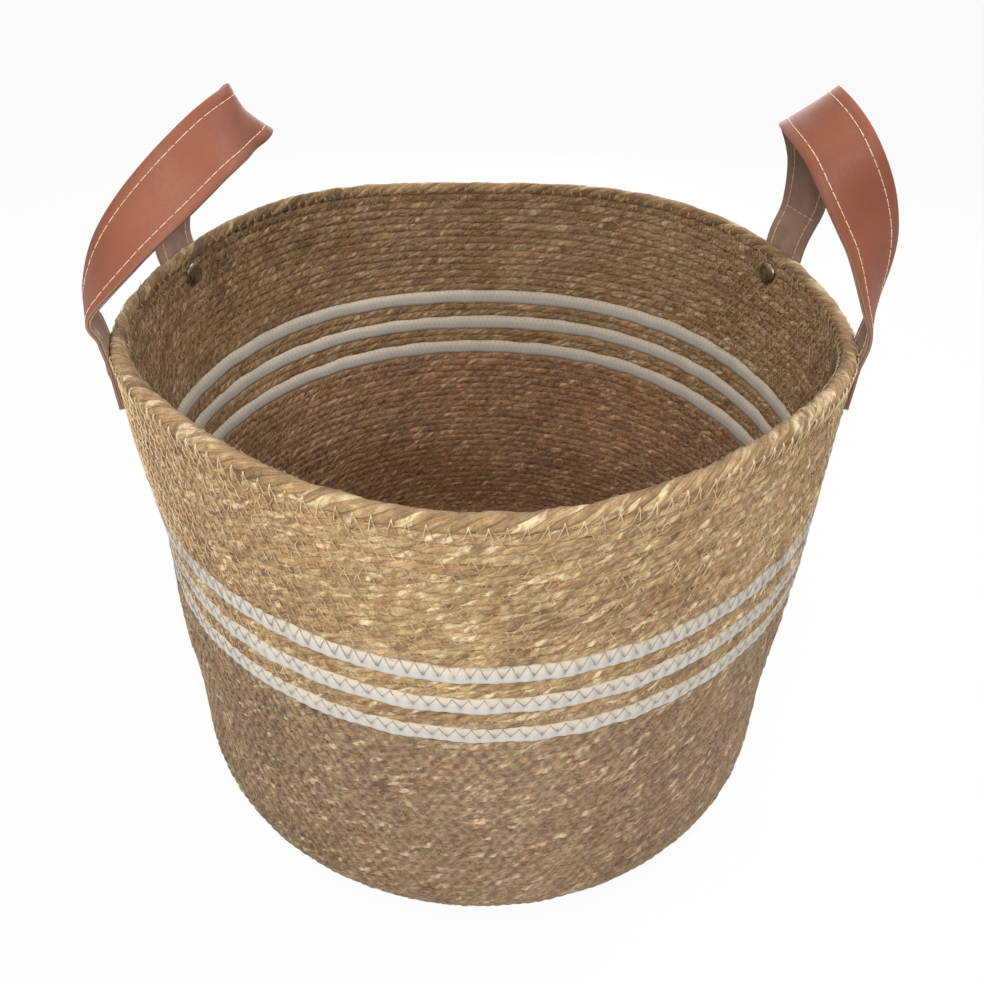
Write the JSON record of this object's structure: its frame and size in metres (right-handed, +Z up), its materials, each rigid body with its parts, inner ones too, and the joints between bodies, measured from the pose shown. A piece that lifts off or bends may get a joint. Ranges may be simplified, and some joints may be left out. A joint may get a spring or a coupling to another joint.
{
  "type": "storage basket",
  "caption": "Round open basket of sewn jute cord with white cords round it and riveted leather strap handles that swing over the rim.",
  "frame": {"origin": "middle of the flat underside of the base", "axes": "+Z up, +X to the right of the front view through the right handle, and the front faces -Y"},
  "size_m": [0.3124, 0.3075, 0.3183],
  "materials": {
    "jute": "coarse twisted jute cord, matt",
    "jute_lower": "coarse twisted jute cord, matt, a little darker",
    "white_cord": "braided cotton cord, matt",
    "leather": "smooth tan leather, satin",
    "lining": "brown suede, matt",
    "bronze": "dark antique bronze, satin"
  },
  "bodies": {
    "basket": {"base_coil": "jute_lower", "lower_wall_coil": "jute_lower", "white_cord_lower": "white_cord", "spacer_rows_lower": "jute", "white_cord_middle": "white_cord", "spacer_rows_upper": "jute", "white_cord_upper": "white_cord", "upper_wall_coil": "jute", "rim_cord": "jute", "strap_end_right_front": "leather", "lining_end_right_front": "lining", "rivet_right_front": "bronze", "rivet_inner_cap_right_front": "bronze", "strap_end_right_back": "leather", "lining_end_right_back": "lining", "rivet_right_back": "bronze", "rivet_inner_cap_right_back": "bronze", "strap_end_left_back": "leather", "lining_end_left_back": "lining", "rivet_left_back": "bronze", "rivet_inner_cap_left_back": "bronze", "strap_end_left_front": "leather", "lining_end_left_front": "lining", "rivet_left_front": "bronze", "rivet_inner_cap_left_front": "bronze"},
    "handle_right": {"strap_loop_right": "leather", "lining_loop_right": "lining"},
    "handle_left": {"strap_loop_left": "leather", "lining_loop_left": "lining"}
  },
  "joints": [
    {"name": "right_handle_swing", "type": "hinge", "parent": "basket", "child": "handle_right", "pos_m": [0.14614, 0.01423, 0.23827], "axis": [-0.0809, 0.9967, 0], "range_deg": [-65, 85]},
    {"name": "left_handle_swing", "type": "hinge", "parent": "basket", "child": "handle_left", "pos_m": [-0.14655, 0.00689, 0.23838], "axis": [-0.0241, -0.9997, 0], "range_deg": [-60, 95]}
  ]
}
